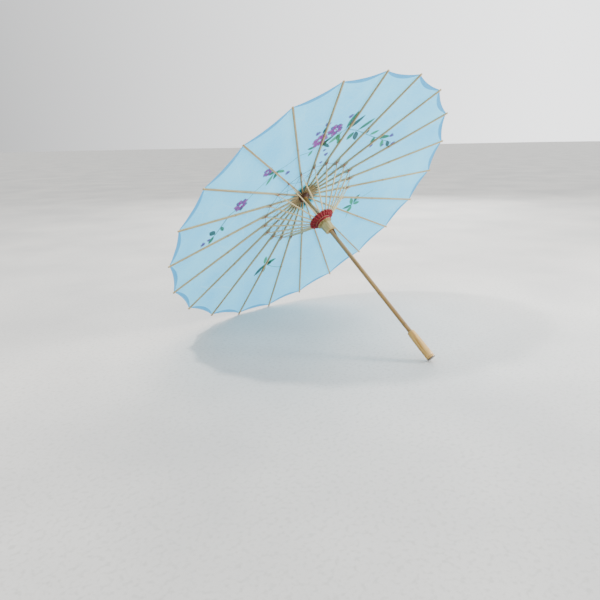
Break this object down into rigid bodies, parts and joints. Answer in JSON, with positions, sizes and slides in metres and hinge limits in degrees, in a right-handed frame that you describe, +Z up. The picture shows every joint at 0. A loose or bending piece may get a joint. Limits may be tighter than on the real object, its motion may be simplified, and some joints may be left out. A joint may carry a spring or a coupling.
{
  "type": "bamboo parasol",
  "caption": "Open bamboo parasol with a sheer cloth canopy, folding split-bamboo ribs and stretchers, a sliding runner with a leaf catch, and a turned wooden handle.",
  "frame": {"origin": "bottom centre of the bounding box: on the floor that the open parasol lies on, in its mirror plane", "axes": "+Z up from the floor; -Y the way the handle points along the floor, so +Y is the crown's side; +X across, to the right as seen from the handle's end"},
  "size_m": [0.8206, 0.6248, 0.62],
  "materials": {
    "canopy_cloth": "sheer plain-woven silk or nylon, light blue",
    "crown_cloth": "teal plain-woven cloth",
    "rib_bamboo": "split bamboo, scraped, unvarnished",
    "stretcher_bamboo": "thin split bamboo, pale, unvarnished",
    "pole_bamboo": "whole bamboo cane, lightly varnished",
    "handle_wood": "turned light wood, clear lacquer",
    "hub_wood": "turned and slotted hardwood, stained dark",
    "runner_wood": "turned and slotted light wood, unvarnished",
    "catch_bamboo": "carved bamboo leaf, dark",
    "red_thread": "cotton thread, woven in a band",
    "brown_thread": "waxed cotton thread",
    "tie_wire": "thin drawn wire",
    "finial_lacquer": "gloss black lacquer"
  },
  "bodies": {
    "root": {"shaft": "pole_bamboo", "handle": "handle_wood", "top_notch": "hub_wood", "top_tie_wire": "tie_wire", "canopy": "canopy_cloth", "crown_cap": "crown_cloth", "finial": "finial_lacquer", "joint_thread": "brown_thread"},
    "runner": {"runner": "runner_wood", "runner_tie_wire": "tie_wire", "red_lacing": "red_thread"},
    "catch": {"catch": "catch_bamboo"},
    "rib_01": {"rib_01": "rib_bamboo"},
    "stretcher_01": {"stretcher_01": "stretcher_bamboo"},
    "rib_02": {"rib_02": "rib_bamboo"},
    "stretcher_02": {"stretcher_02": "stretcher_bamboo"},
    "rib_03": {"rib_03": "rib_bamboo"},
    "stretcher_03": {"stretcher_03": "stretcher_bamboo"},
    "rib_04": {"rib_04": "rib_bamboo"},
    "stretcher_04": {"stretcher_04": "stretcher_bamboo"},
    "rib_05": {"rib_05": "rib_bamboo"},
    "stretcher_05": {"stretcher_05": "stretcher_bamboo"},
    "rib_06": {"rib_06": "rib_bamboo"},
    "stretcher_06": {"stretcher_06": "stretcher_bamboo"},
    "rib_07": {"rib_07": "rib_bamboo"},
    "stretcher_07": {"stretcher_07": "stretcher_bamboo"},
    "rib_08": {"rib_08": "rib_bamboo"},
    "stretcher_08": {"stretcher_08": "stretcher_bamboo"},
    "rib_09": {"rib_09": "rib_bamboo"},
    "stretcher_09": {"stretcher_09": "stretcher_bamboo"},
    "rib_10": {"rib_10": "rib_bamboo"},
    "stretcher_10": {"stretcher_10": "stretcher_bamboo"},
    "rib_11": {"rib_11": "rib_bamboo"},
    "stretcher_11": {"stretcher_11": "stretcher_bamboo"},
    "rib_12": {"rib_12": "rib_bamboo"},
    "stretcher_12": {"stretcher_12": "stretcher_bamboo"},
    "rib_13": {"rib_13": "rib_bamboo"},
    "stretcher_13": {"stretcher_13": "stretcher_bamboo"},
    "rib_14": {"rib_14": "rib_bamboo"},
    "stretcher_14": {"stretcher_14": "stretcher_bamboo"},
    "rib_15": {"rib_15": "rib_bamboo"},
    "stretcher_15": {"stretcher_15": "stretcher_bamboo"},
    "rib_16": {"rib_16": "rib_bamboo"},
    "stretcher_16": {"stretcher_16": "stretcher_bamboo"},
    "rib_17": {"rib_17": "rib_bamboo"},
    "stretcher_17": {"stretcher_17": "stretcher_bamboo"},
    "rib_18": {"rib_18": "rib_bamboo"},
    "stretcher_18": {"stretcher_18": "stretcher_bamboo"},
    "rib_19": {"rib_19": "rib_bamboo"},
    "stretcher_19": {"stretcher_19": "stretcher_bamboo"},
    "rib_20": {"rib_20": "rib_bamboo"},
    "stretcher_20": {"stretcher_20": "stretcher_bamboo"},
    "rib_21": {"rib_21": "rib_bamboo"},
    "stretcher_21": {"stretcher_21": "stretcher_bamboo"},
    "rib_22": {"rib_22": "rib_bamboo"},
    "stretcher_22": {"stretcher_22": "stretcher_bamboo"}
  },
  "joints": [
    {"name": "runner_slide", "type": "slide", "parent": "root", "child": "runner", "axis": [0, -0.7618, -0.6479], "range_m": [0, 0.1627], "deforming": ["canopy", "crown_cap", "joint_thread", "red_lacing", "runner_tie_wire", "catch"]},
    {"name": "rib_hinge_01", "type": "hinge", "parent": "root", "child": "rib_01", "pos_m": [-0.00171, 0.101, 0.3389], "axis": [-0.9898, -0.0922, 0.1084], "range_deg": [0, 78.5]},
    {"name": "stretcher_hinge_01", "type": "hinge", "parent": "rib_01", "child": "stretcher_01", "pos_m": [-0.01851, 0.16002, 0.2357], "axis": [-0.9898, -0.0922, 0.1084], "range_deg": [-137.5, 0]},
    {"name": "rib_hinge_02", "type": "hinge", "parent": "root", "child": "rib_02", "pos_m": [-0.00498, 0.10037, 0.33963], "axis": [-0.9096, -0.2691, 0.3164], "range_deg": [0, 78.5]},
    {"name": "stretcher_hinge_02", "type": "hinge", "parent": "rib_02", "child": "stretcher_02", "pos_m": [-0.05403, 0.15326, 0.24364], "axis": [-0.9096, -0.2691, 0.3164], "range_deg": [-137.5, 0]},
    {"name": "rib_hinge_03", "type": "hinge", "parent": "root", "child": "rib_03", "pos_m": [-0.00786, 0.09918, 0.34104], "axis": [-0.7557, -0.4243, 0.4988], "range_deg": [0, 78.5]},
    {"name": "stretcher_hinge_03", "type": "hinge", "parent": "rib_03", "child": "stretcher_03", "pos_m": [-0.08517, 0.14029, 0.25889], "axis": [-0.7557, -0.4243, 0.4988], "range_deg": [-137.5, 0]},
    {"name": "rib_hinge_04", "type": "hinge", "parent": "root", "child": "rib_04", "pos_m": [-0.01009, 0.0975, 0.343], "axis": [-0.5406, -0.545, 0.6408], "range_deg": [0, 78.5]},
    {"name": "stretcher_hinge_04", "type": "hinge", "parent": "rib_04", "child": "stretcher_04", "pos_m": [-0.10941, 0.12217, 0.2802], "axis": [-0.5406, -0.545, 0.6408], "range_deg": [-137.5, 0]},
    {"name": "rib_hinge_05", "type": "hinge", "parent": "root", "child": "rib_05", "pos_m": [-0.01151, 0.09549, 0.34537], "axis": [-0.2817, -0.6216, 0.7309], "range_deg": [0, 78.5]},
    {"name": "stretcher_hinge_05", "type": "hinge", "parent": "rib_05", "child": "stretcher_05", "pos_m": [-0.12478, 0.10036, 0.30585], "axis": [-0.2817, -0.6216, 0.7309], "range_deg": [-137.5, 0]},
    {"name": "rib_hinge_06", "type": "hinge", "parent": "root", "child": "rib_06", "pos_m": [-0.012, 0.0933, 0.34795], "axis": [0, -0.6479, 0.7618], "range_deg": [0, 78.5]},
    {"name": "stretcher_hinge_06", "type": "hinge", "parent": "rib_06", "child": "stretcher_06", "pos_m": [-0.13005, 0.07662, 0.33376], "axis": [0, -0.6479, 0.7618], "range_deg": [-137.5, 0]},
    {"name": "rib_hinge_07", "type": "hinge", "parent": "root", "child": "rib_07", "pos_m": [-0.01151, 0.09111, 0.35052], "axis": [0.2817, -0.6216, 0.7309], "range_deg": [0, 78.5]},
    {"name": "stretcher_hinge_07", "type": "hinge", "parent": "rib_07", "child": "stretcher_07", "pos_m": [-0.12478, 0.05288, 0.36167], "axis": [0.2817, -0.6216, 0.7309], "range_deg": [-137.5, 0]},
    {"name": "rib_hinge_08", "type": "hinge", "parent": "root", "child": "rib_08", "pos_m": [-0.01009, 0.0891, 0.35289], "axis": [0.5406, -0.545, 0.6408], "range_deg": [0, 78.5]},
    {"name": "stretcher_hinge_08", "type": "hinge", "parent": "rib_08", "child": "stretcher_08", "pos_m": [-0.10941, 0.03107, 0.38732], "axis": [0.5406, -0.545, 0.6408], "range_deg": [-137.5, 0]},
    {"name": "rib_hinge_09", "type": "hinge", "parent": "root", "child": "rib_09", "pos_m": [-0.00786, 0.08742, 0.35485], "axis": [0.7557, -0.4243, 0.4988], "range_deg": [0, 78.5]},
    {"name": "stretcher_hinge_09", "type": "hinge", "parent": "rib_09", "child": "stretcher_09", "pos_m": [-0.08517, 0.01294, 0.40863], "axis": [0.7557, -0.4243, 0.4988], "range_deg": [-137.5, 0]},
    {"name": "rib_hinge_10", "type": "hinge", "parent": "root", "child": "rib_10", "pos_m": [-0.00498, 0.08623, 0.35626], "axis": [0.9096, -0.2691, 0.3164], "range_deg": [0, 78.5]},
    {"name": "stretcher_hinge_10", "type": "hinge", "parent": "rib_10", "child": "stretcher_10", "pos_m": [-0.05403, -0.00002, 0.42388], "axis": [0.9096, -0.2691, 0.3164], "range_deg": [-137.5, 0]},
    {"name": "rib_hinge_11", "type": "hinge", "parent": "root", "child": "rib_11", "pos_m": [-0.00171, 0.0856, 0.35699], "axis": [0.9898, -0.0922, 0.1084], "range_deg": [0, 78.5]},
    {"name": "stretcher_hinge_11", "type": "hinge", "parent": "rib_11", "child": "stretcher_11", "pos_m": [-0.01851, -0.00678, 0.43182], "axis": [0.9898, -0.0922, 0.1084], "range_deg": [-137.5, 0]},
    {"name": "rib_hinge_12", "type": "hinge", "parent": "root", "child": "rib_12", "pos_m": [0.00171, 0.0856, 0.35699], "axis": [0.9898, 0.0922, -0.1084], "range_deg": [0, 78.5]},
    {"name": "stretcher_hinge_12", "type": "hinge", "parent": "rib_12", "child": "stretcher_12", "pos_m": [0.01851, -0.00678, 0.43182], "axis": [0.9898, 0.0922, -0.1084], "range_deg": [-137.5, 0]},
    {"name": "rib_hinge_13", "type": "hinge", "parent": "root", "child": "rib_13", "pos_m": [0.00498, 0.08623, 0.35626], "axis": [0.9096, 0.2691, -0.3164], "range_deg": [0, 78.5]},
    {"name": "stretcher_hinge_13", "type": "hinge", "parent": "rib_13", "child": "stretcher_13", "pos_m": [0.05403, -0.00002, 0.42388], "axis": [0.9096, 0.2691, -0.3164], "range_deg": [-137.5, 0]},
    {"name": "rib_hinge_14", "type": "hinge", "parent": "root", "child": "rib_14", "pos_m": [0.00786, 0.08742, 0.35485], "axis": [0.7557, 0.4243, -0.4988], "range_deg": [0, 78.5]},
    {"name": "stretcher_hinge_14", "type": "hinge", "parent": "rib_14", "child": "stretcher_14", "pos_m": [0.08517, 0.01294, 0.40863], "axis": [0.7557, 0.4243, -0.4988], "range_deg": [-137.5, 0]},
    {"name": "rib_hinge_15", "type": "hinge", "parent": "root", "child": "rib_15", "pos_m": [0.01009, 0.0891, 0.35289], "axis": [0.5406, 0.545, -0.6408], "range_deg": [0, 78.5]},
    {"name": "stretcher_hinge_15", "type": "hinge", "parent": "rib_15", "child": "stretcher_15", "pos_m": [0.10941, 0.03107, 0.38732], "axis": [0.5406, 0.545, -0.6408], "range_deg": [-137.5, 0]},
    {"name": "rib_hinge_16", "type": "hinge", "parent": "root", "child": "rib_16", "pos_m": [0.01151, 0.09111, 0.35052], "axis": [0.2817, 0.6216, -0.7309], "range_deg": [0, 78.5]},
    {"name": "stretcher_hinge_16", "type": "hinge", "parent": "rib_16", "child": "stretcher_16", "pos_m": [0.12478, 0.05288, 0.36167], "axis": [0.2817, 0.6216, -0.7309], "range_deg": [-137.5, 0]},
    {"name": "rib_hinge_17", "type": "hinge", "parent": "root", "child": "rib_17", "pos_m": [0.012, 0.0933, 0.34795], "axis": [0, 0.6479, -0.7618], "range_deg": [0, 78.5]},
    {"name": "stretcher_hinge_17", "type": "hinge", "parent": "rib_17", "child": "stretcher_17", "pos_m": [0.13005, 0.07662, 0.33376], "axis": [0, 0.6479, -0.7618], "range_deg": [-137.5, 0]},
    {"name": "rib_hinge_18", "type": "hinge", "parent": "root", "child": "rib_18", "pos_m": [0.01151, 0.09549, 0.34537], "axis": [-0.2817, 0.6216, -0.7309], "range_deg": [0, 78.5]},
    {"name": "stretcher_hinge_18", "type": "hinge", "parent": "rib_18", "child": "stretcher_18", "pos_m": [0.12478, 0.10036, 0.30585], "axis": [-0.2817, 0.6216, -0.7309], "range_deg": [-137.5, 0]},
    {"name": "rib_hinge_19", "type": "hinge", "parent": "root", "child": "rib_19", "pos_m": [0.01009, 0.0975, 0.343], "axis": [-0.5406, 0.545, -0.6408], "range_deg": [0, 78.5]},
    {"name": "stretcher_hinge_19", "type": "hinge", "parent": "rib_19", "child": "stretcher_19", "pos_m": [0.10941, 0.12217, 0.2802], "axis": [-0.5406, 0.545, -0.6408], "range_deg": [-137.5, 0]},
    {"name": "rib_hinge_20", "type": "hinge", "parent": "root", "child": "rib_20", "pos_m": [0.00786, 0.09918, 0.34104], "axis": [-0.7557, 0.4243, -0.4988], "range_deg": [0, 78.5]},
    {"name": "stretcher_hinge_20", "type": "hinge", "parent": "rib_20", "child": "stretcher_20", "pos_m": [0.08517, 0.14029, 0.25889], "axis": [-0.7557, 0.4243, -0.4988], "range_deg": [-137.5, 0]},
    {"name": "rib_hinge_21", "type": "hinge", "parent": "root", "child": "rib_21", "pos_m": [0.00498, 0.10037, 0.33963], "axis": [-0.9096, 0.2691, -0.3164], "range_deg": [0, 78.5]},
    {"name": "stretcher_hinge_21", "type": "hinge", "parent": "rib_21", "child": "stretcher_21", "pos_m": [0.05403, 0.15326, 0.24364], "axis": [-0.9096, 0.2691, -0.3164], "range_deg": [-137.5, 0]},
    {"name": "rib_hinge_22", "type": "hinge", "parent": "root", "child": "rib_22", "pos_m": [0.00171, 0.101, 0.3389], "axis": [-0.9898, 0.0922, -0.1084], "range_deg": [0, 78.5]},
    {"name": "stretcher_hinge_22", "type": "hinge", "parent": "rib_22", "child": "stretcher_22", "pos_m": [0.01851, 0.16002, 0.2357], "axis": [-0.9898, 0.0922, -0.1084], "range_deg": [-137.5, 0]},
    {"name": "catch_press", "type": "hinge", "parent": "root", "child": "catch", "pos_m": [0.00149, -0.02409, 0.25212], "axis": [-0.8988, -0.284, 0.3339], "range_deg": [0, 7.5], "stiffness_Nm_per_rad": 0.05}
  ],
  "couplings": [
    {"joint": "rib_hinge_01", "follows": "runner_slide", "rad_per_m": 8.4066},
    {"joint": "stretcher_hinge_01", "follows": "runner_slide", "rad_per_m": -14.728},
    {"joint": "rib_hinge_02", "follows": "runner_slide", "rad_per_m": 8.4066},
    {"joint": "stretcher_hinge_02", "follows": "runner_slide", "rad_per_m": -14.728},
    {"joint": "rib_hinge_03", "follows": "runner_slide", "rad_per_m": 8.4066},
    {"joint": "stretcher_hinge_03", "follows": "runner_slide", "rad_per_m": -14.728},
    {"joint": "rib_hinge_04", "follows": "runner_slide", "rad_per_m": 8.4066},
    {"joint": "stretcher_hinge_04", "follows": "runner_slide", "rad_per_m": -14.728},
    {"joint": "rib_hinge_05", "follows": "runner_slide", "rad_per_m": 8.4066},
    {"joint": "stretcher_hinge_05", "follows": "runner_slide", "rad_per_m": -14.728},
    {"joint": "rib_hinge_06", "follows": "runner_slide", "rad_per_m": 8.4066},
    {"joint": "stretcher_hinge_06", "follows": "runner_slide", "rad_per_m": -14.728},
    {"joint": "rib_hinge_07", "follows": "runner_slide", "rad_per_m": 8.4066},
    {"joint": "stretcher_hinge_07", "follows": "runner_slide", "rad_per_m": -14.728},
    {"joint": "rib_hinge_08", "follows": "runner_slide", "rad_per_m": 8.4066},
    {"joint": "stretcher_hinge_08", "follows": "runner_slide", "rad_per_m": -14.728},
    {"joint": "rib_hinge_09", "follows": "runner_slide", "rad_per_m": 8.4066},
    {"joint": "stretcher_hinge_09", "follows": "runner_slide", "rad_per_m": -14.728},
    {"joint": "rib_hinge_10", "follows": "runner_slide", "rad_per_m": 8.4066},
    {"joint": "stretcher_hinge_10", "follows": "runner_slide", "rad_per_m": -14.728},
    {"joint": "rib_hinge_11", "follows": "runner_slide", "rad_per_m": 8.4066},
    {"joint": "stretcher_hinge_11", "follows": "runner_slide", "rad_per_m": -14.728},
    {"joint": "rib_hinge_12", "follows": "runner_slide", "rad_per_m": 8.4066},
    {"joint": "stretcher_hinge_12", "follows": "runner_slide", "rad_per_m": -14.728},
    {"joint": "rib_hinge_13", "follows": "runner_slide", "rad_per_m": 8.4066},
    {"joint": "stretcher_hinge_13", "follows": "runner_slide", "rad_per_m": -14.728},
    {"joint": "rib_hinge_14", "follows": "runner_slide", "rad_per_m": 8.4066},
    {"joint": "stretcher_hinge_14", "follows": "runner_slide", "rad_per_m": -14.728},
    {"joint": "rib_hinge_15", "follows": "runner_slide", "rad_per_m": 8.4066},
    {"joint": "stretcher_hinge_15", "follows": "runner_slide", "rad_per_m": -14.728},
    {"joint": "rib_hinge_16", "follows": "runner_slide", "rad_per_m": 8.4066},
    {"joint": "stretcher_hinge_16", "follows": "runner_slide", "rad_per_m": -14.728},
    {"joint": "rib_hinge_17", "follows": "runner_slide", "rad_per_m": 8.4066},
    {"joint": "stretcher_hinge_17", "follows": "runner_slide", "rad_per_m": -14.728},
    {"joint": "rib_hinge_18", "follows": "runner_slide", "rad_per_m": 8.4066},
    {"joint": "stretcher_hinge_18", "follows": "runner_slide", "rad_per_m": -14.728},
    {"joint": "rib_hinge_19", "follows": "runner_slide", "rad_per_m": 8.4066},
    {"joint": "stretcher_hinge_19", "follows": "runner_slide", "rad_per_m": -14.728},
    {"joint": "rib_hinge_20", "follows": "runner_slide", "rad_per_m": 8.4066},
    {"joint": "stretcher_hinge_20", "follows": "runner_slide", "rad_per_m": -14.728},
    {"joint": "rib_hinge_21", "follows": "runner_slide", "rad_per_m": 8.4066},
    {"joint": "stretcher_hinge_21", "follows": "runner_slide", "rad_per_m": -14.728},
    {"joint": "rib_hinge_22", "follows": "runner_slide", "rad_per_m": 8.4066},
    {"joint": "stretcher_hinge_22", "follows": "runner_slide", "rad_per_m": -14.728}
  ]
}
